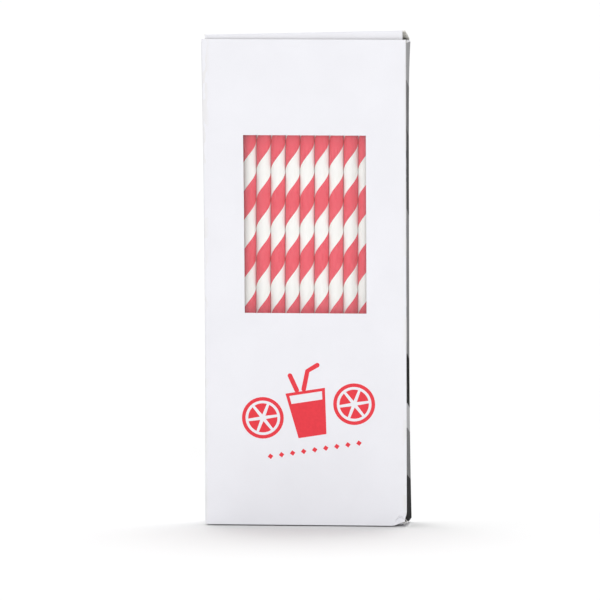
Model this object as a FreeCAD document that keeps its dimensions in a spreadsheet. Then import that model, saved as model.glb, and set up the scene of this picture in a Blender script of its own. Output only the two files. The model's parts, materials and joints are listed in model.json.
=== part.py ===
import FreeCAD, Part
import math
import os
import Sketcher
from FreeCAD import Placement, Rotation, Vector

# A tuck-end paperboard carton with a film window, packed with spiral-wound paper drinking straws.
# Millimetres. Origin at the middle of the footprint on the ground, front towards -Y, +X to the right.
# The top lid stands slightly lifted, and its tuck and dust flaps follow it.

SIZES = [
    ("carton_width", 83.0, "outside, left to right"),
    ("carton_depth", 26.6, "outside, front to back"),
    ("carton_height", 200.5, "outside, closed"),
    ("board", 0.45, "thickness of the folding boxboard"),
    ("play", 0.1, "gap between pieces that only lie on each other"),
    ("corner_round", 0.3, "outer radius of the creased upright corners"),
    ("window_width", 50.0, "die-cut window"),
    ("window_height", 73.4, "die-cut window"),
    ("window_sill", 87.6, "height of the window's lower edge"),
    ("window_round", 0.8, "radius of the window's corners"),
    ("film", 0.1, "thickness of the window film"),
    ("film_margin", 7.0, "glued border of the film round the window"),
    ("glue_width", 13.0, "glue flap's reach along the back panel"),
    ("glue_end", 5.0, "glue flap's distance from the carton's top and bottom"),
    ("glue_taper", 4.0, "how much shorter the glue flap's free edge is at each end"),
    ("lid_side", 0.5, "how much narrower a closure panel is at each side"),
    ("lid_front", 0.15, "gap between a closure panel and the front panel"),
    ("tuck_length", 10.0, "tuck flap, from crease to free edge"),
    ("tuck_side", 1.6, "how much narrower a tuck flap is at each side"),
    ("tuck_round", 6.5, "radius of a tuck flap's free corners"),
    ("crease", 0.6, "where a flap's board starts, from its fold line"),
    ("dust_length", 22.0, "dust flap, from fold line to free edge"),
    ("dust_back", 1.5, "dust flap's start from the carton's back"),
    ("dust_mitre", 10.0, "reach of the 45 degree mitre on a dust flap's back edge"),
    ("dust_front", 4.2, "dust flap's distance from the carton's front"),
    ("dust_taper", 2.0, "slope of a dust flap's front edge"),
    ("dust_round", 2.5, "radius of a dust flap's free corners"),
    ("straw_length", 197.0, "cut length of a straw"),
    ("straw_radius", 3.0, "outside radius of a straw"),
    ("straw_wall", 0.4, "three wound paper plies"),
    ("straw_pitch", 6.02, "straw to straw along a row"),
    ("straw_setback", 3.4, "front panel's inner face to the first row"),
]

REST_LIFT = 4.1  # degrees the top lid stands open
TUCK_LEAN = 14.5  # degrees a closed tuck flap leans in from upright
TUCK_RATIO = 0.15  # tuck flap's unfolding per degree of its lid
DUST_RATIO = 0.45  # dust flap's spring-back per degree of its lid
ROWS = 4  # rows of straws, front to back
SINGLE_ROWS = 3  # front rows whose straws are each a sub-part; the last row is one group
LONG_ROW = 13  # straws in the odd rows; the even rows nest between them with one fewer
SAME_PLACE = 1e-6  # two places nearer than this are the same one

X_AXIS = Vector(1, 0, 0)
Y_AXIS = Vector(0, 1, 0)
STANDING_ACROSS = Rotation(X_AXIS, 90)  # a flat outline's X stays X, its Y goes up, its thickness to -Y
STANDING_ALONG = Rotation(Vector(1, 1, 1), 120)  # its X goes to Y, its Y goes up, its thickness to +X

doc = FreeCAD.newDocument("straw_carton")
sheet = doc.addObject("Spreadsheet::Sheet", "sizes")


class Size:
    """A length with its present value and the sheet formula that gives it."""

    def __init__(self, value, formula):
        self.value = value
        self.formula = formula

    def __add__(self, other):
        other = as_size(other)
        return Size(self.value + other.value, f"({self.formula} + {other.formula})")

    def __sub__(self, other):
        other = as_size(other)
        return Size(self.value - other.value, f"({self.formula} - {other.formula})")

    def __mul__(self, number):
        return Size(self.value * number, f"({self.formula} * {number})")

    def __neg__(self):
        return self * -1


def as_size(number):
    return number if isinstance(number, Size) else Size(number, str(number))


def fill_sheet():
    """Writes the driving sizes as rows of name, value and note, and returns them by name."""
    found = {}
    for row, (name, value, note) in enumerate(SIZES, start=1):
        sheet.set(f"A{row}", name)
        sheet.set(f"B{row}", str(value))
        sheet.set(f"C{row}", note)
        sheet.setAlias(f"B{row}", name)
        found[name] = Size(value, f"sizes.{name}")
    doc.recompute()
    return found


size = fill_sheet()
width = size["carton_width"]
depth = size["carton_depth"]
height = size["carton_height"]
board = size["board"]
play = size["play"]
half_width = width * 0.5
half_depth = depth * 0.5
flap_level = height - board - play  # top face of the closed dust flaps, under the lid


def bind(thing, field, length):
    thing.setExpression(field, length.formula)


def origin_plane(body, role):
    return next(plane for plane in body.Origin.OriginFeatures if plane.Role == role)


def draw_outline(sketch, corners):
    """Adds a closed outline of straight edges, each corner bound to its two lengths."""
    first = sketch.GeometryCount
    count = len(corners)
    points = [Vector(x.value, y.value, 0) for x, y in corners]
    for index in range(count):
        sketch.addGeometry(Part.LineSegment(points[index], points[(index + 1) % count]))
    for index, (x, y) in enumerate(corners):
        edge = first + index
        following = first + (index + 1) % count
        sketch.addConstraint(Sketcher.Constraint("Coincident", edge, 2, following, 1))
        for kind, length in (("DistanceX", x), ("DistanceY", y)):
            place = sketch.addConstraint(Sketcher.Constraint(kind, -1, 1, edge, 1, length.value))
            bind(sketch, f"Constraints[{place}]", length)


def edges_at(shape, corners):
    """The edges along the thickness that stand at the given outline corners."""
    names = []
    for number, edge in enumerate(shape.Edges, start=1):
        start, end = edge.Vertexes[0].Point, edge.Vertexes[-1].Point
        upright = math.hypot(start.x - end.x, start.y - end.y) < SAME_PLACE
        if upright and any(math.hypot(start.x - x.value, start.y - y.value) < SAME_PLACE for x, y in corners):
            names.append(f"Edge{number}")
    return names


def sheet_piece(name, outlines, thickness, place, rounded=(), radius=None):
    """A flat piece cut from sheet: its outlines padded by its thickness, chosen corners rounded."""
    body = doc.addObject("PartDesign::Body", name)
    sketch = body.newObject("Sketcher::SketchObject", f"{name}_outline")
    sketch.AttachmentSupport = [(origin_plane(body, "XY_Plane"), "")]
    sketch.MapMode = "FlatFace"
    for corners in outlines:
        draw_outline(sketch, corners)
    pad = body.newObject("PartDesign::Pad", f"{name}_sheet")
    pad.Profile = sketch
    bind(pad, "Length", thickness)
    if rounded:
        doc.recompute()
        corner = body.newObject("PartDesign::Fillet", f"{name}_corners")
        corner.Base = (pad, edges_at(pad.Shape, rounded))
        bind(corner, "Radius", radius)
    body.Label = name
    body.Placement = place
    return body


def rectangle(left, right, low, high):
    return [(left, low), (right, low), (right, high), (left, high)]


def round_creases(panel, outer_face):
    """Softens the two upright edges of a full-width panel's outer face."""
    doc.recompute()
    flat = panel.Tip
    names = []
    for number, edge in enumerate(flat.Shape.Edges, start=1):
        box = edge.BoundBox
        at_side = abs(abs(box.Center.x) - half_width.value) < SAME_PLACE
        if at_side and box.YLength > height.value / 2 and abs(box.Center.z - outer_face.value) < SAME_PLACE:
            names.append(f"Edge{number}")
    fillet = panel.newObject("PartDesign::Fillet", f"{panel.Name}_creases")
    fillet.Base = (flat, names)
    bind(fillet, "Radius", size["corner_round"])


def make_sleeve():
    """The four walls, the glue flap inside the back-left corner, and the film behind the window."""
    window_half = size["window_width"] * 0.5
    sill = size["window_sill"]
    head = sill + size["window_height"]
    wall = rectangle(-half_width, half_width, as_size(0.0), height)
    window = rectangle(-window_half, window_half, sill, head)
    front_place = Placement(Vector(0, board.value - half_depth.value, 0), STANDING_ACROSS)
    front = sheet_piece("front_panel", [wall, window], board, front_place, window, size["window_round"])
    round_creases(front, board)
    back_place = Placement(Vector(0, half_depth.value, 0), STANDING_ACROSS)
    back = sheet_piece("back_panel", [wall], board, back_place)
    round_creases(back, as_size(0.0))

    inner_depth = half_depth - board
    side = rectangle(-inner_depth, inner_depth, board + play, flap_level)
    left_place = Placement(Vector(-half_width.value, 0, 0), STANDING_ALONG)
    sheet_piece("left_side_panel", [side], board, left_place)
    right_place = Placement(Vector(half_width.value - board.value, 0, 0), STANDING_ALONG)
    sheet_piece("right_side_panel", [side], board, right_place)

    glue_root = board - half_width
    glue_tip = glue_root + size["glue_width"]
    glue_low = size["glue_end"]
    glue_high = height - glue_low
    taper = size["glue_taper"]
    glue = [
        (glue_root, glue_low),
        (glue_tip, glue_low + taper),
        (glue_tip, glue_high - taper),
        (glue_root, glue_high),
    ]
    sheet_piece("glue_flap", [glue], board, Placement(Vector(0, inner_depth.value, 0), STANDING_ACROSS))

    margin = size["film_margin"]
    film = rectangle(-window_half - margin, window_half + margin, sill - margin, head + margin)
    film_back = board.value - half_depth.value + size["film"].value
    sheet_piece("window_film", [film], size["film"], Placement(Vector(0, film_back, 0), STANDING_ACROSS))


def turned(point, axis, angle):
    """A turn by an angle about an axis through a point."""
    return Placement(Vector(0, 0, 0), Rotation(axis, angle), point)


def make_closure(end, lift, flip):
    """One end of the carton: closure panel, its tuck flap and the two dust flaps under it.

    Everything is laid out for the top; flip turns it over for the bottom.
    """
    back_fold = Vector(0, half_depth.value, height.value)
    lid_reach = depth - board - size["lid_front"]
    front_fold = Vector(0, half_depth.value - lid_reach.value, height.value)
    lift_lid = turned(back_fold, X_AXIS, -lift)

    lid_half = half_width - size["lid_side"]
    lid = rectangle(-lid_half, lid_half, half_depth - lid_reach, half_depth - size["crease"])
    on_top = Placement(Vector(0, 0, height.value - board.value), Rotation())
    sheet_piece(f"{end}_closure_panel", [lid], board, flip * lift_lid * on_top)

    tuck_half = half_width - size["tuck_side"]
    tuck = rectangle(-tuck_half, tuck_half, -size["tuck_length"], -size["crease"])
    free_corners = tuck[:2]
    hang = Placement(Vector(0, front_fold.y + board.value, height.value), STANDING_ACROSS)
    unfold = turned(front_fold, X_AXIS, TUCK_LEAN - lift * TUCK_RATIO)
    sheet_piece(
        f"{end}_tuck_flap", [tuck], board, flip * lift_lid * unfold * hang, free_corners, size["tuck_round"]
    )

    for side, direction in (("left", -1), ("right", 1)):
        make_dust_flap(end, side, direction, lift, flip)


def make_dust_flap(end, side, direction, lift, flip):
    """A dust flap: square at the front, mitred at 45 degrees at the back so that it clears the lid."""
    root = size["crease"]
    tip = size["dust_length"]
    back = half_depth - size["dust_back"]
    mitre = size["dust_mitre"]
    front = size["dust_front"] - half_depth
    taper = size["dust_taper"]
    outline = [
        (half_width - root, front),
        (half_width - tip, front + taper),
        (half_width - tip, back - mitre),
        (half_width - root - mitre, back - mitre),
        (half_width - root, back),
    ]
    if direction < 0:
        outline = [(-x, y) for x, y in reversed(outline)]
    free_end = half_width.value - tip.value
    free_corners = [corner for corner in outline if abs(abs(corner[0].value) - free_end) < SAME_PLACE]
    fold = Vector(direction * half_width.value, 0, flap_level.value)
    spring = turned(fold, Y_AXIS, direction * lift * DUST_RATIO)
    laid = Placement(Vector(0, 0, flap_level.value - board.value), Rotation())
    built_side = side if end == "top" else {"left": "right", "right": "left"}[side]
    sheet_piece(
        f"{end}_dust_flap_{built_side}",
        [outline],
        board,
        flip * spring * laid,
        free_corners,
        size["dust_round"],
    )


def row_places(row):
    """Centres of one row's straws, front row first; even rows nest in the gaps of the odd ones."""
    count = LONG_ROW - (row % 2)
    pitch = size["straw_pitch"].value
    row_step = pitch * math.sqrt(3) / 2
    first_row = board.value - half_depth.value + size["straw_setback"].value + size["straw_radius"].value
    floor = 2 * board.value + 2 * play.value
    start = -pitch * (count - 1) / 2
    return [Vector(start + pitch * index, first_row + row_step * row, floor) for index in range(count)]


def make_straw(name, place):
    """One straw as a tube: a cylinder less its bore."""
    bore_radius = size["straw_radius"] - size["straw_wall"]
    tools = []
    for role, radius in (("outside", size["straw_radius"]), ("bore", bore_radius)):
        cylinder = doc.addObject("Part::Cylinder", f"{name}_{role}")
        bind(cylinder, "Radius", radius)
        bind(cylinder, "Height", size["straw_length"])
        tools.append(cylinder)
    straw = doc.addObject("Part::Cut", name)
    straw.Base, straw.Tool = tools
    straw.Label = name
    straw.Placement = Placement(place, Rotation())
    return straw


def make_straws():
    """The front rows straw by straw, and the last row, which only its ends show, as one group."""
    singles = []
    for row in range(SINGLE_ROWS):
        for number, place in enumerate(row_places(row), start=1):
            singles.append(make_straw(f"straw_row_{row + 1}_{number:02d}", place))
    doc.recompute()
    groups = []
    for row in range(SINGLE_ROWS, ROWS):
        group = doc.addObject("Part::Feature", f"straw_row_{row + 1}")
        tubes = []
        for place in row_places(row):
            tube = singles[0].Shape.copy()
            tube.Placement = Placement(place, Rotation())
            tubes.append(tube)
        group.Shape = Part.makeCompound(tubes)
        group.Label = f"straw_row_{row + 1}"
        group.Placement = Placement()
        groups.append(group)
    return singles + groups


def check_and_write(pieces):
    """Stops on any failed object, then writes each sub-part under its own name."""
    doc.recompute()
    failed = [item.Name for item in doc.Objects if {"Invalid", "Error"} & set(item.State)]
    for piece in pieces:
        if piece.Shape.isNull() or not piece.Shape.isValid():
            failed.append(piece.Label)
    if failed:
        raise RuntimeError("failed: " + ", ".join(failed))
    os.makedirs("parts", exist_ok=True)
    for piece in pieces:
        piece.Shape.exportStep(f"parts/{piece.Label}.step")
        solids = piece.Shape.Solids
        print(piece.Label, len(solids), "solid(s),", round(sum(one.Volume for one in solids), 2), "mm3")


make_sleeve()
make_closure("top", REST_LIFT, Placement())
upside_down = Placement(Vector(0, 0, height.value), Rotation(Y_AXIS, 180))
make_closure("bottom", 0.0, upside_down)
straws = make_straws()
sheet_pieces = [item for item in doc.Objects if item.TypeId == "PartDesign::Body"]
check_and_write(sheet_pieces + straws)
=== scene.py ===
import json
import math

import bmesh
import bpy
import numpy as np
from mathutils import Matrix, Vector


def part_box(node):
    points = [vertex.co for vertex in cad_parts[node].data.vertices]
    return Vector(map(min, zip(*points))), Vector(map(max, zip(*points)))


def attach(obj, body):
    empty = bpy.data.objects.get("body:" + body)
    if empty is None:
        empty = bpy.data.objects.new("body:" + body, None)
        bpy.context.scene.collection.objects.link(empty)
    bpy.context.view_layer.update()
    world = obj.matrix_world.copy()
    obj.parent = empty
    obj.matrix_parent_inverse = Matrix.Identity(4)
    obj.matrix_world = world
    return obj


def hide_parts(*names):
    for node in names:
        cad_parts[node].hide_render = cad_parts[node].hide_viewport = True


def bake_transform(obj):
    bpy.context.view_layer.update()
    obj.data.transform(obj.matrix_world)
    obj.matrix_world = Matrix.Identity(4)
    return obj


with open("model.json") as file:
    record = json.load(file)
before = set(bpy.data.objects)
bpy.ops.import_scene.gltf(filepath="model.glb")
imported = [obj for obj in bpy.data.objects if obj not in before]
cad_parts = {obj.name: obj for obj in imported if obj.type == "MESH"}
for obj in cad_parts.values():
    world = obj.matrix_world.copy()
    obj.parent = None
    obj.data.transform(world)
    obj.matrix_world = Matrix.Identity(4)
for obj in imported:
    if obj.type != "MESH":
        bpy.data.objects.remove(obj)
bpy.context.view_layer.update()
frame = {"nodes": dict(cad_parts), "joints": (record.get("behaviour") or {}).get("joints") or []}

MM = 0.001

# ---------------------------------------------------------------- sizes, from the frame

front_low, front_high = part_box("front_panel")
back_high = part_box("back_panel")[1]
lid_low, lid_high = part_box("bottom_closure_panel")
tuck_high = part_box("bottom_tuck_flap")[1]
film_low, film_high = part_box("window_film")
side_low, side_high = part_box("right_side_panel")
dust_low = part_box("bottom_dust_flap_left")[0]
glue_low, glue_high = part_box("glue_flap")

HALF_WIDTH = front_high.x
HALF_DEPTH = back_high.y
HEIGHT = front_high.z
BOARD = 0.45 * MM  # thickness of the folding boxboard
CREASE_RADIUS = 0.75 * MM  # outer radius of a scored fold
FILM_MARGIN = 7 * MM  # the film is glued this far past the opening all round
WINDOW_HALF = film_high.x - FILM_MARGIN
WINDOW_SILL = film_low.z + FILM_MARGIN
WINDOW_HEAD = film_high.z - FILM_MARGIN
LID_GAP = 0.15 * MM  # between a closure panel and the front panel's inner face

JOINTS = {joint["name"]: joint for joint in frame["joints"]}
TOP_LIFT = math.radians(-JOINTS["top_lid_hinge"]["range_deg"][0])  # how far open the lid rests
TUCK_RATIO = 0.15
DUST_RATIO = 0.45
TUCK_LEAN = math.radians(14.5)

rng = np.random.default_rng(203)


# ---------------------------------------------------------------- camera

CAMERA_PLACE = Vector((267.1, -3200.0, 277.0)) * MM
CAMERA_PITCH = math.radians(3.292)
CAMERA_YAW = math.radians(4.833)
CAMERA_ROLL = math.radians(0.123)
FOCAL_PIXELS = 7768.7
FRAME_PIXELS = 600


def make_camera():
    data = bpy.data.cameras.new("camera")
    data.sensor_width = 36
    data.lens = FOCAL_PIXELS / FRAME_PIXELS * data.sensor_width
    data.clip_end = 100
    camera = bpy.data.objects.new("camera", data)
    bpy.context.scene.collection.objects.link(camera)
    turn = Matrix.Rotation(CAMERA_YAW, 4, "Z") @ Matrix.Rotation(math.pi / 2 - CAMERA_PITCH, 4, "X")
    camera.matrix_world = Matrix.Translation(CAMERA_PLACE) @ turn @ Matrix.Rotation(CAMERA_ROLL, 4, "Z")
    bpy.context.scene.camera = camera


# ---------------------------------------------------------------- the carton's real, imperfect shape

TOP_FLARE_LEFT = 2.1 * MM  # the left crease leans out at the top
FLARE_POWER = 2.2  # and does so mostly in its upper part
BASE_SPREAD_RIGHT = 0.8 * MM  # the right crease stands out at the base
TOP_LEAN_RIGHT = 1.05 * MM  # and leans in towards the top
SIDE_BOW = 0.85 * MM  # the rear right crease is pressed in between the two closures
FRONT_BULGE = 0.5 * MM
CRUSH_REACH = 6.5 * MM  # the dented lower right corner
CRUSH_LIFT = 1.6 * MM
CRUSH_IN = 0.9 * MM


def smooth(value):
    value = np.clip(value, 0, 1)
    return value * value * (3 - 2 * value)


def settle(points):
    """Moves points of the ideal carton to where the worn one has them. Inner pieces follow the walls."""
    points = np.array(points, float)
    x, y, z = points[..., 0], points[..., 1], points[..., 2]
    up = np.clip(z / HEIGHT, 0, 1.03)
    across = np.clip((x / HALF_WIDTH + 1) / 2, -0.1, 1.1)
    left = -TOP_FLARE_LEFT * up**FLARE_POWER
    right = BASE_SPREAD_RIGHT - TOP_LEAN_RIGHT * up
    middle = np.clip(1 - np.abs(2 * up - 1) ** np.where(up > 0.5, 8, 3), 0, 1)
    rear = smooth((y / HALF_DEPTH + 1) / 2)
    near_right = smooth((x / HALF_WIDTH - 0.9) / 0.1)
    moved_x = x + left * (1 - across) + right * across - SIDE_BOW * middle * rear * near_right
    facing = np.clip(1 - (x / HALF_WIDTH) ** 2, 0, 1)
    on_front = smooth((-y / HALF_DEPTH - 0.8) / 0.15)
    on_back = smooth((y / HALF_DEPTH - 0.8) / 0.15)
    moved_y = y + FRONT_BULGE * facing * middle * (on_back - on_front)
    corner = np.sqrt((x - HALF_WIDTH) ** 2 + (y + HALF_DEPTH) ** 2 + z**2)
    crush = smooth(1 - corner / CRUSH_REACH)
    moved_x = moved_x - 0.9 * CRUSH_IN * crush
    moved_y = moved_y + CRUSH_IN * crush
    moved_z = z + CRUSH_LIFT * crush
    return np.stack([moved_x, moved_y, moved_z], -1)


def wrinkles(points):
    """Height of the small creases pressed into the board beside the dented corner."""
    x = HALF_WIDTH - points[..., 0]
    z = points[..., 2]
    from_peak = np.abs(x - 2.9 * MM)
    reach = smooth(1.5 - from_peak / (1.9 * MM))
    ridge = np.exp(-(((z + 0.75 * from_peak - 3.7 * MM) / (0.35 * MM)) ** 2)) * reach
    valley = np.exp(-(((z + 0.75 * from_peak - 2.9 * MM) / (0.35 * MM)) ** 2)) * reach
    return 0.4 * MM * ridge - 0.35 * MM * valley


# ---------------------------------------------------------------- mesh helpers


def finish_mesh(name, vertices, faces, slots, materials, smooth_angle=40, uv=None):
    """Makes an object of a list of faces, each with its material slot."""
    mesh = bpy.data.meshes.new(name)
    mesh.from_pydata([tuple(v) for v in vertices], [], faces)
    for material in materials:
        mesh.materials.append(material)
    mesh.polygons.foreach_set("material_index", slots)
    if uv is not None:
        layer = mesh.uv_layers.new(name="surface")
        layer.data.foreach_set("uv", np.array(uv, float).ravel())
    mesh.validate()
    piece = bpy.data.objects.new(name, mesh)
    bpy.context.scene.collection.objects.link(piece)
    mesh.shade_smooth()
    mesh.set_sharp_from_angle(angle=math.radians(smooth_angle))
    return piece


def sheet_normals(outer):
    """Unit outward normals of a grid whose columns run left to right and rows upward, seen from outside."""
    along = np.gradient(outer, axis=0)
    across = np.gradient(outer, axis=1)
    normal = np.cross(across, along)
    return normal / np.maximum(np.linalg.norm(normal, axis=-1, keepdims=True), 1e-12)


def board_piece(name, outer, materials, thickness=BOARD, hole=None):
    """A sheet of board: a grid of outer-face points thickened inward, with raw cut edges.

    hole is a mask of grid cells that are left open. The three materials are face, inside and cut edge.
    """
    rows, columns = outer.shape[:2]
    inner = outer - sheet_normals(outer) * thickness
    vertices = np.concatenate([outer.reshape(-1, 3), inner.reshape(-1, 3)])
    under = rows * columns
    present = np.zeros((rows + 1, columns + 1), bool)
    present[1:rows, 1:columns] = True if hole is None else ~hole
    faces, slots = [], []
    for i in range(rows - 1):
        for j in range(columns - 1):
            if not present[i + 1, j + 1]:
                continue
            a = i * columns + j
            b, c, d = a + 1, a + columns + 1, a + columns
            faces += [[a, b, c, d], [a + under, d + under, c + under, b + under]]
            slots += [0, 1]
            rims = (
                (present[i, j + 1], [a, a + under, b + under, b]),
                (present[i + 2, j + 1], [d, c, c + under, d + under]),
                (present[i + 1, j], [a, d, d + under, a + under]),
                (present[i + 1, j + 2], [b, b + under, c + under, c]),
            )
            for neighbour, rim in rims:
                if not neighbour:
                    faces.append(rim)
                    slots.append(2)
    return finish_mesh(name, vertices, faces, slots, materials)


def steps(low, high, coarse, stops=(), fine=None, fine_low=0.0, fine_high=0.0):
    """Rising grid values from low to high through the stops, finer beside the ends where asked."""
    marks = {low, high, *stops}
    if fine_low:
        marks.add(low + fine_low)
    if fine_high:
        marks.add(high - fine_high)
    marks = sorted(marks)
    values = [low]
    for start, end in zip(marks, marks[1:]):
        middle = (start + end) / 2
        near_end = fine and (middle < low + fine_low or middle > high - fine_high)
        count = max(1, round((end - start) / (fine if near_end else coarse)))
        values += list(np.linspace(start, end, count + 1)[1:])
    return np.array(values)


# ---------------------------------------------------------------- materials


class Nodes:
    """A material's node tree, with short calls for the nodes that the surfaces share."""

    def __init__(self, name):
        self.material = bpy.data.materials.new(name)
        self.material.use_nodes = True
        self.tree = self.material.node_tree
        self.shader = self.tree.nodes["Principled BSDF"]
        self.place = self.add("ShaderNodeTexCoord").outputs["Object"]

    def add(self, kind, **settings):
        node = self.tree.nodes.new(kind)
        for key, value in settings.items():
            setattr(node, key, value)
        return node

    def link(self, source, target):
        self.tree.links.new(source, target)

    def maths(self, operation, first, second=None, third=None):
        node = self.add("ShaderNodeMath", operation=operation)
        for index, value in enumerate((first, second, third)):
            if value is None:
                continue
            if isinstance(value, (int, float)):
                node.inputs[index].default_value = value
            else:
                self.link(value, node.inputs[index])
        return node.outputs[0]

    def noise(self, scale, stretch=(1, 1, 1), detail=3.0, place=None):
        mapping = self.add("ShaderNodeMapping")
        mapping.inputs["Scale"].default_value = stretch
        self.link(place or self.place, mapping.inputs["Vector"])
        noise = self.add("ShaderNodeTexNoise")
        noise.inputs["Scale"].default_value = scale
        noise.inputs["Detail"].default_value = detail
        self.link(mapping.outputs[0], noise.inputs["Vector"])
        return noise.outputs["Fac"]

    def ramp(self, value, stops, interpolation="LINEAR"):
        node = self.add("ShaderNodeValToRGB")
        node.color_ramp.interpolation = interpolation
        elements = node.color_ramp.elements
        for element, (position, colour) in ((elements[0], stops[0]), (elements[1], stops[-1])):
            element.position = position
            element.color = (*colour, 1)
        for position, colour in stops[1:-1]:
            elements.new(position).color = (*colour, 1)
        self.link(value, node.inputs["Fac"])
        return node.outputs["Color"]

    def between(self, value, low, high):
        """Maps 0..1 noise to the range low..high."""
        node = self.add("ShaderNodeMapRange")
        node.inputs["To Min"].default_value = low
        node.inputs["To Max"].default_value = high
        self.link(value, node.inputs["Value"])
        return node.outputs["Result"]

    def mix(self, share, first, second):
        node = self.add("ShaderNodeMix", data_type="RGBA")
        sockets = {socket.name: socket for socket in node.inputs if socket.enabled}
        self.link(share, sockets["Factor"])
        for key, colour in (("A", first), ("B", second)):
            if isinstance(colour, tuple):
                sockets[key].default_value = (*colour, 1)
            else:
                self.link(colour, sockets[key])
        return next(socket for socket in node.outputs if socket.enabled)

    def bump(self, height, strength, distance):
        node = self.add("ShaderNodeBump")
        node.inputs["Strength"].default_value = strength
        node.inputs["Distance"].default_value = distance
        self.link(height, node.inputs["Height"])
        self.link(node.outputs[0], self.shader.inputs["Normal"])

    def finish(self, colour, roughness, specular=0.35):
        self.link(colour, self.shader.inputs["Base Color"])
        self.link(roughness, self.shader.inputs["Roughness"])
        self.shader.inputs["Specular IOR Level"].default_value = specular
        return self.material


def fold_wear(nodes):
    """Up to 1 on the upright folds, where handling has rubbed the coating, and 0 elsewhere."""
    split = nodes.add("ShaderNodeSeparateXYZ")
    nodes.link(nodes.place, split.inputs[0])
    worn = nodes.maths("GREATER_THAN", nodes.noise(420, stretch=(1, 1, 0.25), detail=4), 0.5)
    for axis, half in (("X", HALF_WIDTH), ("Y", HALF_DEPTH)):
        reach = nodes.maths("ABSOLUTE", split.outputs[axis])
        near = nodes.maths("MULTIPLY", nodes.maths("SUBTRACT", reach, half - 1.6 * MM), 1 / (1.6 * MM))
        near = nodes.maths("MINIMUM", nodes.maths("MAXIMUM", near, 0.0), 1.0)
        worn = nodes.maths("MULTIPLY", worn, near)
    return worn


def coated_board(name, tint=(0.805, 0.805, 0.845)):
    """Clay-coated white board: faint mottle, a satin varnish and a very fine grain."""
    nodes = Nodes(name)
    mottle = nodes.noise(55, detail=5)
    darker = tuple(channel * 0.975 for channel in tint)
    base = nodes.ramp(mottle, [(0.35, darker), (0.65, tint)])
    colour = nodes.mix(nodes.maths("MULTIPLY", fold_wear(nodes), 0.35), base, (0.72, 0.70, 0.67))
    roughness = nodes.between(nodes.noise(300, detail=2), 0.42, 0.56)
    grain = nodes.noise(2600, detail=2)
    broad = nodes.maths("MULTIPLY", nodes.noise(70, detail=1), 3.0)
    nodes.bump(nodes.maths("ADD", grain, broad), 0.14, 0.02 * MM)
    return nodes.finish(colour, roughness)


def bare_board():
    """The uncoated inside: warmer, matt, with fibres along the board."""
    nodes = Nodes("bare_board")
    fibre = nodes.noise(900, stretch=(1, 1, 0.12), detail=6)
    specks = nodes.maths("GREATER_THAN", nodes.noise(1500, detail=1), 0.72)
    base = nodes.ramp(fibre, [(0.3, (0.66, 0.64, 0.58)), (0.7, (0.78, 0.765, 0.71))])
    colour = nodes.mix(nodes.maths("MULTIPLY", specks, 0.25), base, (0.5, 0.46, 0.38))
    nodes.bump(fibre, 0.35, 0.03 * MM)
    return nodes.finish(colour, nodes.between(fibre, 0.8, 0.95), 0.2)


def raw_edge():
    """A die-cut edge: the grey core between the two white liners."""
    nodes = Nodes("cut_edge")
    layers = nodes.noise(5200, stretch=(1, 1, 0.3), detail=3)
    colour = nodes.ramp(layers, [(0.3, (0.6, 0.585, 0.55)), (0.7, (0.84, 0.83, 0.8))])
    nodes.bump(layers, 0.4, 0.03 * MM)
    return nodes.finish(colour, nodes.between(layers, 0.85, 1.0), 0.15)


SIDE_BANDS = [  # height of each printed block's lower edge, in millimetres, and its grey
    (0, 0.012),
    (20.4, 0.19),
    (40.6, 0.46),
    (50.7, 0.006),
    (71.1, 0.23),
    (130.5, 0.07),
    (163.0, 0.16),
    (184.0, 0.36),
]


BAND_SLANT = 0.15


def printed_side():
    """Blocks of black and grey across the side panel, their edges slanted, printed over the white coat."""
    nodes = Nodes("printed_side")
    split = nodes.add("ShaderNodeSeparateXYZ")
    nodes.link(nodes.place, split.inputs[0])
    slant = nodes.maths("MULTIPLY", split.outputs["Y"], BAND_SLANT)
    slanted = nodes.maths("ADD", nodes.maths("ADD", split.outputs["Z"], slant), BAND_SLANT * HALF_DEPTH)
    level = nodes.maths("DIVIDE", slanted, HEIGHT)
    stops = [(max(0.0, low * MM / HEIGHT), (grey, grey, grey * 1.02)) for low, grey in SIDE_BANDS]
    blocks = nodes.ramp(level, stops, "CONSTANT")
    ink = nodes.noise(1400, detail=4)
    cloud = nodes.noise(38, stretch=(1, 1, 0.6), detail=5)
    lighter = nodes.maths("MULTIPLY", cloud, 0.06)
    shaded = nodes.mix(lighter, blocks, (0.42, 0.42, 0.43))
    colour = nodes.mix(nodes.maths("MULTIPLY", fold_wear(nodes), 0.5), shaded, (0.6, 0.59, 0.57))
    nodes.bump(ink, 0.15, 0.02 * MM)
    return nodes.finish(colour, nodes.between(ink, 0.8, 0.95), 0.02)


def printed_red():
    nodes = Nodes("printed_red")
    solid = nodes.noise(900, detail=4)
    colour = nodes.ramp(solid, [(0.3, (0.72, 0.012, 0.028)), (0.7, (0.78, 0.018, 0.036))])
    nodes.bump(nodes.noise(2600, detail=2), 0.12, 0.02 * MM)
    return nodes.finish(colour, nodes.between(solid, 0.38, 0.5))


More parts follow.
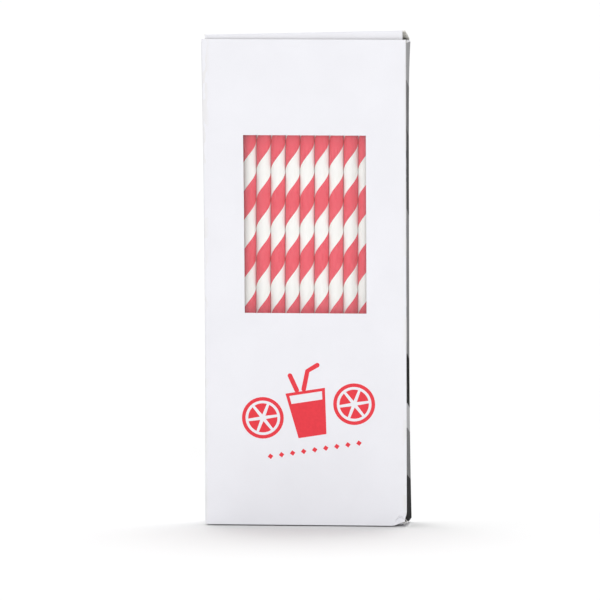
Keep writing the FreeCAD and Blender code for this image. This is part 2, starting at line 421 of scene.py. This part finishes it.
def straw_paper(name, pale, deep):
    """Wound paper: fine fibres along the straw, a ply seam along the helix, and uneven ink."""
    nodes = Nodes(name)
    surface = nodes.add("ShaderNodeUVMap", uv_map="surface").outputs["UV"]
    split = nodes.add("ShaderNodeSeparateXYZ")
    nodes.link(surface, split.inputs[0])
    streaks = nodes.noise(9.0, stretch=(5, 0.6, 1), detail=5, place=surface)
    fibre = nodes.noise(60.0, stretch=(1.6, 0.35, 1), detail=4, place=surface)
    helix = nodes.maths("FRACT", nodes.maths("SUBTRACT", split.outputs["Y"], split.outputs["X"]))
    from_seam = nodes.maths("ABSOLUTE", nodes.maths("SUBTRACT", helix, SEAM_PHASE))
    seam = nodes.maths("LESS_THAN", from_seam, 0.006)
    base = nodes.ramp(streaks, [(0.32, deep), (0.68, pale)])
    colour = nodes.mix(nodes.maths("MULTIPLY", seam, 0.4), base, tuple(channel * 0.6 for channel in deep))
    height = nodes.maths("SUBTRACT", fibre, nodes.maths("MULTIPLY", seam, 1.5))
    nodes.bump(height, 0.25, 0.03 * MM)
    return nodes.finish(colour, nodes.between(fibre, 0.6, 0.78), 0.25)


def clear_film():
    nodes = Nodes("clear_film")
    ripple = nodes.noise(90, detail=2)
    colour = nodes.ramp(ripple, [(0.3, (0.93, 0.95, 0.97)), (0.7, (0.97, 0.98, 1.0))])
    nodes.bump(ripple, 0.08, 0.2 * MM)
    nodes.shader.inputs["Alpha"].default_value = 0.04
    return nodes.finish(colour, nodes.between(ripple, 0.05, 0.1), 0.5)


# ---------------------------------------------------------------- the sleeve's walls

STRIPE_LEAD = 24.25 * MM  # rise of a straw's stripe in one turn round it
RED_START = 6.45 * MM  # height of a red stripe's lower edge at the front of a straw
SEAM_PHASE = RED_START / STRIPE_LEAD


def wall_path(half_span, reach, outward, stops=(), fine=None, fine_high=0.0):
    """One wall's outer line in plan, left to right seen from outside, from mid-crease to mid-crease."""
    radius = CREASE_RADIUS
    arc = np.radians(np.linspace(45, 0, 5))
    left = [(-half_span + radius - radius * math.sin(a), reach - radius + radius * math.cos(a)) for a in arc]
    flat = steps(-half_span + radius, half_span - radius, 3.0 * MM, stops, fine, fine_high=fine_high)[1:-1]
    right = [(-s, n) for s, n in reversed(left)]
    line = np.array(left + [(s, reach) for s in flat] + right)
    out = np.array([math.cos(outward), math.sin(outward)])
    tangent = np.array([-out[1], out[0]])
    return line[:, :1] * tangent + line[:, 1:] * out, line[:, 0]


def wall_points(path, heights):
    grid = np.zeros((len(heights), len(path), 3))
    grid[..., :2] = path[None]
    grid[..., 2] = heights[:, None]
    return grid


def place_piece(piece, body, slot, *nodes):
    if nodes:
        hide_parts(*nodes)
    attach(piece, body)
    return piece


def make_front(materials):
    fine_zone = 10 * MM
    path, across = wall_path(
        HALF_WIDTH, HALF_DEPTH, -math.pi / 2, (-WINDOW_HALF, WINDOW_HALF), 0.3 * MM, fine_zone
    )
    heights = steps(0.0, HEIGHT, 4.0 * MM, (WINDOW_SILL, WINDOW_HEAD), 0.3 * MM, fine_low=fine_zone)
    ideal = wall_points(path, heights)
    outer = settle(ideal)
    outer[..., 1] -= wrinkles(ideal)
    middle_across = (across[1:] + across[:-1]) / 2
    middle_height = (heights[1:] + heights[:-1]) / 2
    in_height = (middle_height > WINDOW_SILL) & (middle_height < WINDOW_HEAD)
    hole = in_height[:, None] & (np.abs(middle_across) < WINDOW_HALF)[None]
    piece = board_piece("front_panel_board", outer, materials, hole=hole)
    place_piece(piece, "carton", "printed_board", "front_panel")


def make_other_walls(coated, printed):
    top_fold = HEIGHT - CREASE_RADIUS
    walls = (
        ("right_side_panel", HALF_DEPTH, HALF_WIDTH, 0.0, side_low.z, side_high.z - CREASE_RADIUS, printed),
        ("back_panel", HALF_WIDTH, HALF_DEPTH, math.pi / 2, CREASE_RADIUS, top_fold, coated),
        ("left_side_panel", HALF_DEPTH, HALF_WIDTH, math.pi, side_low.z, side_high.z - CREASE_RADIUS, coated),
    )
    for name, half_span, reach, outward, low, high, materials in walls:
        path, _ = wall_path(half_span, reach, outward)
        bottom = low if name == "back_panel" else low + CREASE_RADIUS
        heights = steps(bottom, high, 4.0 * MM, fine=0.5 * MM, fine_low=10 * MM)
        piece = board_piece(f"{name}_board", settle(wall_points(path, heights)), materials)
        slot = "dark_printed_board" if name == "right_side_panel" else "printed_board"
        place_piece(piece, "carton", slot, name)


GLUE_TAPER = 4 * MM


def make_glue_flap(bare):
    """Lies on the back panel's inner face; its ends taper towards its free edge."""
    inset = 0.05 * MM
    reach = np.linspace(1, 0, 8)
    rise = np.linspace(0, 1, 40)[:, None]
    low = glue_low.z + GLUE_TAPER * reach
    high = glue_high.z - GLUE_TAPER * reach
    grid = np.zeros((len(rise), len(reach), 3))
    grid[..., 0] = glue_low.x + inset + (glue_high.x - glue_low.x - inset) * reach
    grid[..., 1] = glue_high.y - inset
    grid[..., 2] = low * (1 - rise) + high * rise
    piece = board_piece("glue_flap_board", settle(grid), [bare] * 3, thickness=BOARD - 2 * inset)
    place_piece(piece, "carton", "bare_board", "glue_flap")


def make_film(material):
    across = np.linspace(film_low.x, film_high.x, 34)
    heights = np.linspace(film_low.z, film_high.z, 46)
    grid = wall_points(np.stack([across, np.full_like(across, film_low.y)], -1), heights)
    outer = settle(grid)
    inside_x = smooth((WINDOW_HALF - np.abs(grid[..., 0])) / (8 * MM))
    inside_z = smooth(np.minimum(grid[..., 2] - WINDOW_SILL, WINDOW_HEAD - grid[..., 2]) / (8 * MM))
    ripple = 1.2 + np.sin(grid[..., 0] / (9 * MM) + grid[..., 2] / (17 * MM))
    outer[..., 1] += 0.03 * MM + 0.22 * MM * ripple * inside_x * inside_z
    piece = board_piece("window_film_sheet", outer, [material] * 3, thickness=0.06 * MM)
    place_piece(piece, "carton", "clear_film", "window_film")


# ---------------------------------------------------------------- closures: lids, tuck flaps and dust flaps

FOLD_SPAN = 0.9 * MM  # length of board that bends at a fold
LID_TWIST = 2.1 * MM  # the top lid's right front corner stands higher than its left one
LID_FRONT_Y = front_low.y + BOARD + LID_GAP
LID_REACH = HALF_DEPTH - LID_FRONT_Y
LID_SHORT_LEFT = 0.9 * MM  # the lid is cut a little narrower than the carton at its left end
TUCK_LENGTH = 10 * MM
TUCK_HALF = tuck_high.x
TUCK_ROUND = 6.5 * MM
DUST_LEVEL = HEIGHT - dust_low.z
DUST_LENGTH = 22 * MM
DUST_BACK = 1.5 * MM
DUST_MITRE = 10 * MM
DUST_FRONT = 4.2 * MM
DUST_TAPER = 2.0 * MM
DUST_ROUND = 2.5 * MM


def bend(points, pivot, axis, angle, start=None, end=None):
    """Turns points about an axis, or bends them between start and end as a fold does."""
    flat = points.reshape(-1, 3)
    pivot, axis = np.array(pivot), np.array(axis, float)
    weight = np.ones(len(flat))
    if start is not None:
        run = np.array(end) - np.array(start)
        weight = smooth(((flat - np.array(start)) @ run) / (run @ run))
    arm = flat - pivot
    cosine, sine = np.cos(weight * angle)[:, None], np.sin(weight * angle)[:, None]
    turned = arm * cosine + np.cross(axis, arm) * sine + np.outer(arm @ axis, axis) * (1 - cosine)
    return (pivot + turned).reshape(points.shape)


def upend(points):
    """Turns the top closure's shape over to make the bottom one."""
    return np.stack([-points[..., 0], points[..., 1], HEIGHT - points[..., 2]], -1)


def twist(points):
    """Lifts the lid's right front corner, as loose board does."""
    lifted = points.copy()
    forward = np.clip((HALF_DEPTH - points[..., 1]) / LID_REACH, 0, 1.2)
    rightward = np.clip((points[..., 0] / HALF_WIDTH + 1) / 2, 0, 1)
    lifted[..., 2] += LID_TWIST * forward * rightward
    return lifted


def arc_over(y_fold, toward, level, count=6):
    """A fold's outer line from upright to level, as (y, z) points; toward is where the level part lies."""
    centre = y_fold + toward * CREASE_RADIUS
    angles = np.radians(np.linspace(0, 90, count))
    return [
        (centre - toward * CREASE_RADIUS * math.cos(a), level - CREASE_RADIUS + CREASE_RADIUS * math.sin(a))
        for a in angles
    ]


def lay(name, outer, end, materials, fold, node):
    """Makes a closure piece, turned over at the bottom, bakes its transform and hides the part it replaces.
    """
    start, stop = (np.array(point) for point in fold)
    if end == "bottom":
        start, stop = upend(start), upend(stop)
    piece = board_piece(name, outer, materials)
    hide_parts(node)
    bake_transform(piece)


def make_lid(end, lift, materials):
    """The closure panel, hinged on the back panel by its rear fold."""
    hinge = (0.0, HALF_DEPTH, HEIGHT)
    fold = ((0, HALF_DEPTH, HEIGHT - FOLD_SPAN), (0, HALF_DEPTH - FOLD_SPAN, HEIGHT))
    front_y = LID_FRONT_Y + CREASE_RADIUS
    flat = [(y, HEIGHT) for y in steps(front_y, HALF_DEPTH - CREASE_RADIUS, 2.0 * MM)[:-1]]
    profile = np.array(flat + arc_over(HALF_DEPTH, -1, HEIGHT)[::-1])
    columns = steps(lid_low.x + LID_SHORT_LEFT, lid_high.x, 3.0 * MM)
    grid = np.zeros((len(profile), len(columns), 3))
    grid[..., 0] = columns[None]
    grid[..., 1:] = profile[:, None]
    grid = bend(grid, hinge, (-1, 0, 0), lift, *fold)
    shaped = settle(twist(grid)) if end == "top" else settle(upend(grid))
    lay(f"{end}_closure_board", shaped, end, materials, fold, f"{end}_closure_panel")


def make_tuck(end, lift, materials):
    """The tuck flap: rounded at its free corners, leaning in so that it slides down behind the front."""
    front = (0.0, LID_FRONT_Y, HEIGHT)
    fold = ((0, LID_FRONT_Y + FOLD_SPAN, HEIGHT), (0, LID_FRONT_Y, HEIGHT - FOLD_SPAN))
    rounding = TUCK_ROUND * (1 - np.cos(np.radians(np.linspace(0, 90, 7))))
    straight = steps(1.0 * MM, TUCK_LENGTH - TUCK_ROUND, 1.2 * MM)[::-1][1:]
    drops = np.concatenate([TUCK_LENGTH - rounding, straight])
    upright = [(LID_FRONT_Y, HEIGHT - drop) for drop in drops]
    profile = np.array(upright + arc_over(LID_FRONT_Y, 1, HEIGHT))
    past = np.clip(drops - (TUCK_LENGTH - TUCK_ROUND), 0, TUCK_ROUND)
    halves = TUCK_HALF - TUCK_ROUND + np.sqrt(np.maximum(TUCK_ROUND**2 - past**2, 0))
    halves = np.concatenate([halves, np.full(len(profile) - len(drops), TUCK_HALF)])
    share = np.linspace(-1, 1, 34)
    grid = np.zeros((len(profile), len(share), 3))
    grid[..., 0] = halves[:, None] * share[None]
    grid[..., 1:] = profile[:, None]
    grid = bend(grid, front, (1, 0, 0), TUCK_LEAN - TUCK_RATIO * lift, *fold)
    grid = bend(grid, (0, HALF_DEPTH, HEIGHT), (-1, 0, 0), lift)
    start_end = bend(np.array(fold), (0, HALF_DEPTH, HEIGHT), (-1, 0, 0), lift)
    shaped = settle(twist(grid)) if end == "top" else settle(upend(grid))
    lay(f"{end}_tuck_board", shaped, end, materials, start_end, f"{end}_tuck_flap")


def dust_edges(reach):
    """Front and back edge of a dust flap at each distance from its fold."""
    front = -HALF_DEPTH + DUST_FRONT + DUST_TAPER * reach / DUST_LENGTH
    back = HALF_DEPTH - DUST_BACK - np.clip(reach - BOARD, 0, DUST_MITRE)
    into = np.clip(reach - (DUST_LENGTH - DUST_ROUND), 0, DUST_ROUND)
    rounding = DUST_ROUND - np.sqrt(np.maximum(DUST_ROUND**2 - into**2, 0))
    return front + rounding, back - rounding


def make_dust_flap(end, side, lift, materials):
    """A dust flap of the top, or one of the bottom made by turning a top one over."""
    ending = DUST_LENGTH - DUST_ROUND * (1 - np.sin(np.radians(np.linspace(0, 90, 6))))
    level = steps(CREASE_RADIUS, DUST_LENGTH - DUST_ROUND, 1.5 * MM, (DUST_MITRE + BOARD,))[1:-1]
    arc = arc_over(0.0, 1, DUST_LEVEL)
    profile = np.array(arc + [(reach, DUST_LEVEL) for reach in np.concatenate([level, ending])])
    front, back = dust_edges(profile[:, 0])
    share = np.linspace(0, 1, 16)
    grid = np.zeros((len(share), len(profile), 3))
    grid[..., 0] = -HALF_WIDTH + profile[None, :, 0]
    grid[..., 1] = front[None] * (1 - share[:, None]) + back[None] * share[:, None]
    grid[..., 2] = profile[None, :, 1]
    pivot = (-HALF_WIDTH, 0.0, DUST_LEVEL)
    fold = np.array([(-HALF_WIDTH, 0, DUST_LEVEL - FOLD_SPAN), (-HALF_WIDTH + FOLD_SPAN, 0, DUST_LEVEL)])
    grid = bend(grid, pivot, (0, -1, 0), DUST_RATIO * lift, *fold)
    on_right = (side == "right") == (end == "top")
    if on_right:
        mirror = np.array([-1, 1, 1])
        grid = (grid * mirror)[:, ::-1]
        fold = fold * mirror
    shaped = settle(grid) if end == "top" else settle(upend(grid))
    name = f"{end}_dust_flap_{side}"
    lay(f"{name}_board", shaped, end, materials, fold, name)


# ---------------------------------------------------------------- straws

STRAW_SIDES = 28
STRAW_WALL = 0.4 * MM


def clipped(corners, low, high):
    """A cell of the unrolled straw, as (turn, height) corners, cut to the straw's length."""
    for limit, sign in ((low, 1), (high, -1)):
        kept = []
        for index, here in enumerate(corners):
            before = corners[index - 1]
            inside_here = sign * (here[1] - limit) >= -1e-9
            inside_before = sign * (before[1] - limit) >= -1e-9
            if inside_here != inside_before:
                share = (limit - before[1]) / (here[1] - before[1])
                kept.append((before[0] + share * (here[0] - before[0]), limit))
            if inside_here:
                kept.append(here)
        corners = kept
    return corners


class StrawMesh:
    """A wound straw whose faces follow its stripes, with a plain bore and ring-shaped ends."""

    def __init__(self, radius, low, high, red_start):
        self.radius, self.low, self.high = radius, low, high
        self.vertices, self.faces, self.slots, self.uv = [], [], [], []
        self.known = {}
        self.turns = [side / STRAW_SIDES - 0.5 for side in range(STRAW_SIDES + 1)]
        self.wind(red_start)
        self.bore_and_ends()

    def vertex(self, radius, turn, height):
        key = (round(radius, 7), round(turn % 1.0, 6) % 1.0, round(height, 8))
        if key not in self.known:
            angle = 2 * math.pi * turn - math.pi / 2
            self.known[key] = len(self.vertices)
            self.vertices.append((radius * math.cos(angle), radius * math.sin(angle), height))
        return self.known[key]

    def face(self, radius_corners, slot):
        indices = [self.vertex(*corner) for corner in radius_corners]
        if len(set(indices)) < len(indices) or len(indices) < 3:
            return
        self.faces.append(indices)
        self.slots.append(slot)
        self.uv += [(turn, height / STRIPE_LEAD) for _, turn, height in radius_corners]

    def wind(self, red_start):
        half = STRIPE_LEAD / 2
        first = math.floor((self.low - red_start) / half) - 2
        last = math.ceil((self.high - red_start) / half) + 2
        for band in range(first, last):
            base = red_start + band * half
            for turn, following in zip(self.turns, self.turns[1:]):
                rise, next_rise = turn * STRIPE_LEAD, following * STRIPE_LEAD
                cell = [
                    (turn, base + rise),
                    (following, base + next_rise),
                    (following, base + half + next_rise),
                    (turn, base + half + rise),
                ]
                cell = clipped(cell, self.low, self.high)
                if len(cell) >= 3:
                    self.face([(self.radius, *corner) for corner in cell], band % 2)

    def bore_and_ends(self):
        inner = self.radius - STRAW_WALL
        for turn, following in zip(self.turns, self.turns[1:]):
            wall = [(following, self.low), (turn, self.low), (turn, self.high), (following, self.high)]
            self.face([(inner, *corner) for corner in wall], 2)
            for height, upward in ((self.low, False), (self.high, True)):
                outer = [(self.radius, at, height) for at in self.rim_between(turn, following, height)]
                ring = outer + [(inner, following, height), (inner, turn, height)]
                self.face(ring if upward else ring[::-1], 2)

    def rim_between(self, turn, following, height):
        """The turns at which the outer wall has vertices on one end, from turn to following."""
        radius, level = round(self.radius, 7), round(height, 8)
        rim = {key[1] for key in self.known if key[0] == radius and key[2] == level}
        turns = [value if value <= 0.5 else value - 1 for value in rim]
        return [turn, *sorted(at for at in turns if turn + 1e-5 < at < following - 1e-5), following]


def make_straw(name, centre, low, high, radius, materials, node=None):
    shape = StrawMesh(radius, low, high, RED_START + rng.normal(0, 0.25) * MM)
    points = [(x + centre[0], y + centre[1], z) for x, y, z in shape.vertices]
    piece = finish_mesh(name, points, shape.faces, shape.slots, materials, 50, shape.uv)
    if node:
        place_piece(piece, "straws", "straw_paper", node)
    return piece


def make_straws(materials):
    names = sorted(name for name in frame["nodes"] if name.startswith("straw_row_"))
    singles = [name for name in names if name.count("_") == 3]
    for name in singles:
        low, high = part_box(name)
        middle = (low + high) / 2
        trim = rng.uniform(0, 0.5) * MM
        make_straw(f"{name}_wound", middle, low.z, high.z - trim, (high.x - low.x) / 2, materials, name)
    for name in sorted(set(names) - set(singles)):
        low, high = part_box(name)
        radius = (high.y - low.y) / 2
        like = [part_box(single) for single in singles if single.startswith("straw_row_2_")]
        straws = []
        for number, (other_low, other_high) in enumerate(like, start=1):
            centre = ((other_low.x + other_high.x) / 2, (low.y + high.y) / 2)
            trim = rng.uniform(0, 0.5) * MM
            straws.append(make_straw(f"{name}_{number:02d}", centre, low.z, high.z - trim, radius, materials))
        bpy.context.view_layer.update()
        with bpy.context.temp_override(active_object=straws[0], selected_editable_objects=straws):
            bpy.ops.object.join()
        straws[0].name = f"{name}_wound"
        place_piece(straws[0], "straws", "straw_paper", name)


# ---------------------------------------------------------------- the printed ornament

PRINT_CENTRE = Vector((0.9, 48.2)) * MM  # across the front panel, and above the base
PRINT_TILT = math.radians(9)
INK_RISE = 0.015 * MM


def ellipse(x, z, half_x, half_z, start=0, end=360, count=40):
    angles = np.radians(np.linspace(start, end, count + 1))
    if end - start == 360:
        angles = angles[:-1]
    return [(x + half_x * math.cos(a), z + half_z * math.sin(a)) for a in angles]


def stroke(points, half_thickness):
    """A band of even thickness along a line, with round ends."""
    points = [np.array(point, float) for point in points]
    left, right = [], []
    for index, point in enumerate(points):
        ahead = points[min(index + 1, len(points) - 1)] - points[max(index - 1, 0)]
        side = np.array([-ahead[1], ahead[0]]) / np.linalg.norm(ahead) * half_thickness
        left.append(point + side)
        right.append(point - side)
    caps = []
    for tip, before in ((points[-1], points[-2]), (points[0], points[1])):
        heading = math.atan2(*(tip - before)[::-1])
        angles = heading + np.radians(np.linspace(-75, 75, 7))
        caps.append([tip + half_thickness * np.array([math.cos(a), math.sin(a)]) for a in angles])
    return [tuple(point) for point in right + caps[0] + left[::-1] + caps[1]]


def citrus_slice(x, z, radius):
    """A round slice: a rind ring and its wedges."""
    shapes = [(ellipse(x, z, radius, radius), ellipse(x, z, radius * 0.83, radius * 0.83))]
    for wedge in range(6):
        start = wedge * 60 + 5
        middle = math.radians(start + 25)
        inner = (x + 0.16 * radius * math.cos(middle), z + 0.16 * radius * math.sin(middle))
        shapes.append((ellipse(x, z, radius * 0.7, radius * 0.7, start, start + 50, 10) + [inner], None))
    return shapes


def tumbler(x, z, height, half_top, half_foot):
    """A glass, wider at its rim, with a clear band above its drink."""
    top, foot = z + height / 2, z - height / 2
    wall = 1.2
    brim = top - 4.6
    outline = [(x - half_foot, foot), (x + half_foot, foot), (x + half_top, top), (x - half_top, top)]
    share = (brim - foot) / height
    half_brim = half_foot + (half_top - half_foot) * share - wall
    clear = [
        (x - half_brim, brim),
        (x + half_brim, brim),
        (x + half_top - wall - 0.2, top - wall),
        (x - half_top + wall + 0.2, top - wall),
    ]
    return [(outline, clear)]


def ornament_shapes():
    """A generic drinks motif, in millimetres about its centre: a glass with two straws between two slices."""
    shapes = tumbler(0, -2.0, 19.0, 8.2, 5.8)
    shapes.append((stroke([(-0.5, 8.2), (2.2, 15.4), (6.6, 17.2)], 0.95), None))
    shapes.append((stroke([(-3.4, 8.2), (-5.2, 14.6)], 0.95), None))
    shapes += citrus_slice(-19.0, -1.0, 8.6)
    shapes += citrus_slice(19.0, -1.0, 8.6)
    for dot in range(-4, 5):
        x = dot * 4.6
        shapes.append(([(x - 1.15, -17.2), (x, -18.35), (x + 1.15, -17.2), (x, -16.05)], None))
    return shapes


def make_ornament(material):
    """Red ink on the front panel, as one thin closed layer that follows the board."""
    shape = bmesh.new()
    cosine, sine = math.cos(PRINT_TILT), math.sin(PRINT_TILT)
    for outline, opening in ornament_shapes():
        edges = []
        for loop in (outline, opening):
            if loop is None:
                continue
            points = [
                (PRINT_CENTRE.x + (x * cosine - z * sine) * MM, PRINT_CENTRE.y + (x * sine + z * cosine) * MM)
                for x, z in loop
            ]
            corners = [shape.verts.new((x, -HALF_DEPTH, z)) for x, z in points]
            edges += [shape.edges.new((corners[i - 1], corners[i])) for i in range(len(corners))]
        bmesh.ops.triangle_fill(shape, use_beauty=True, use_dissolve=False, edges=edges, normal=(0, -1, 0))
    bmesh.ops.subdivide_edges(shape, edges=[e for e in shape.edges if e.calc_length() > 4 * MM], cuts=3)
    bmesh.ops.triangulate(shape, faces=shape.faces)
    for vertex in shape.verts:
        vertex.co = Vector(settle(np.array(vertex.co))) + Vector((0, -INK_RISE, 0))
    bmesh.ops.recalc_face_normals(shape, faces=shape.faces)
    for face in shape.faces:
        if face.normal.y > 0:
            face.normal_flip()
    top = list(shape.faces)
    raised = bmesh.ops.extrude_face_region(shape, geom=top)
    for item in raised["geom"]:
        if isinstance(item, bmesh.types.BMVert):
            item.co.y -= INK_RISE
    bmesh.ops.recalc_face_normals(shape, faces=shape.faces)
    mesh = bpy.data.meshes.new("front_print")
    shape.to_mesh(mesh)
    shape.free()
    mesh.materials.append(material)
    piece = bpy.data.objects.new("front_print", mesh)
    bpy.context.scene.collection.objects.link(piece)
    place_piece(piece, "carton", "printed_board")


# ---------------------------------------------------------------- floor and light

FLOOR_HALF = 30.0
FLOOR_DROP = 0.5 * MM  # leaves room for the opened bottom flap, which folds back under the base plane


def make_floor():
    nodes = Nodes("floor")
    tone = nodes.noise(3, detail=2)
    colour = nodes.ramp(tone, [(0.3, (0.93, 0.93, 0.93)), (0.7, (0.95, 0.95, 0.95))])
    nodes.finish(colour, nodes.between(tone, 0.75, 0.85), 0.1)
    mesh = bpy.data.meshes.new("floor")
    reach, below = FLOOR_HALF, -FLOOR_DROP
    corners = [(-reach, -reach, below), (reach, -reach, below), (reach, reach, below), (-reach, reach, below)]
    mesh.from_pydata(corners, [], [[0, 1, 2, 3]])
    mesh.materials.append(nodes.material)
    floor = bpy.data.objects.new("floor", mesh)
    bpy.context.scene.collection.objects.link(floor)


def make_sun(name, energy, softness, elevation, bearing):
    """Parallel light; bearing 0 comes from in front of the carton, 90 from its right."""
    data = bpy.data.lights.new(name, "SUN")
    data.energy = energy
    data.angle = math.radians(softness)
    sun = bpy.data.objects.new(name, data)
    bpy.context.scene.collection.objects.link(sun)
    up, round_it = math.radians(elevation), math.radians(bearing)
    source = Vector((math.cos(up) * math.sin(round_it), -math.cos(up) * math.cos(round_it), math.sin(up)))
    sun.rotation_euler = source.to_track_quat("Z", "Y").to_euler()


def make_light():
    world = bpy.data.worlds.new("studio")
    bpy.context.scene.world = world
    world.use_nodes = True
    background = world.node_tree.nodes["Background"]
    background.inputs["Color"].default_value = (1.0, 1.0, 1.0, 1)
    background.inputs["Strength"].default_value = 0.52
    make_sun("key_from_behind", 1.8, 45, 66, 182)
    make_sun("front_fill", 1.12, 25, 10, 5)
    bpy.context.scene.view_settings.view_transform = "Standard"


# ---------------------------------------------------------------- make everything


def main():
    make_camera()
    coated = coated_board("coated_board")
    bare = bare_board()
    edge = raw_edge()
    white_board = [coated, bare, edge]
    side_board = [printed_side(), bare, edge]
    white = straw_paper("straw_white", (0.94, 0.945, 0.92), (0.88, 0.885, 0.855))
    red = straw_paper("straw_red", (0.87, 0.085, 0.125), (0.76, 0.05, 0.08))
    inner_ply = straw_paper("straw_inner_ply", (0.88, 0.87, 0.82), (0.8, 0.79, 0.73))
    make_front(white_board)
    make_other_walls(white_board, side_board)
    make_glue_flap(bare)
    make_film(clear_film())
    for end, lift in (("top", TOP_LIFT), ("bottom", 0.0)):
        make_lid(end, lift, white_board)
        make_tuck(end, lift, white_board)
        for side in ("left", "right"):
            make_dust_flap(end, side, lift, white_board)
    make_straws([red, white, inner_ply])
    make_ornament(printed_red())
    make_floor()
    make_light()


main()
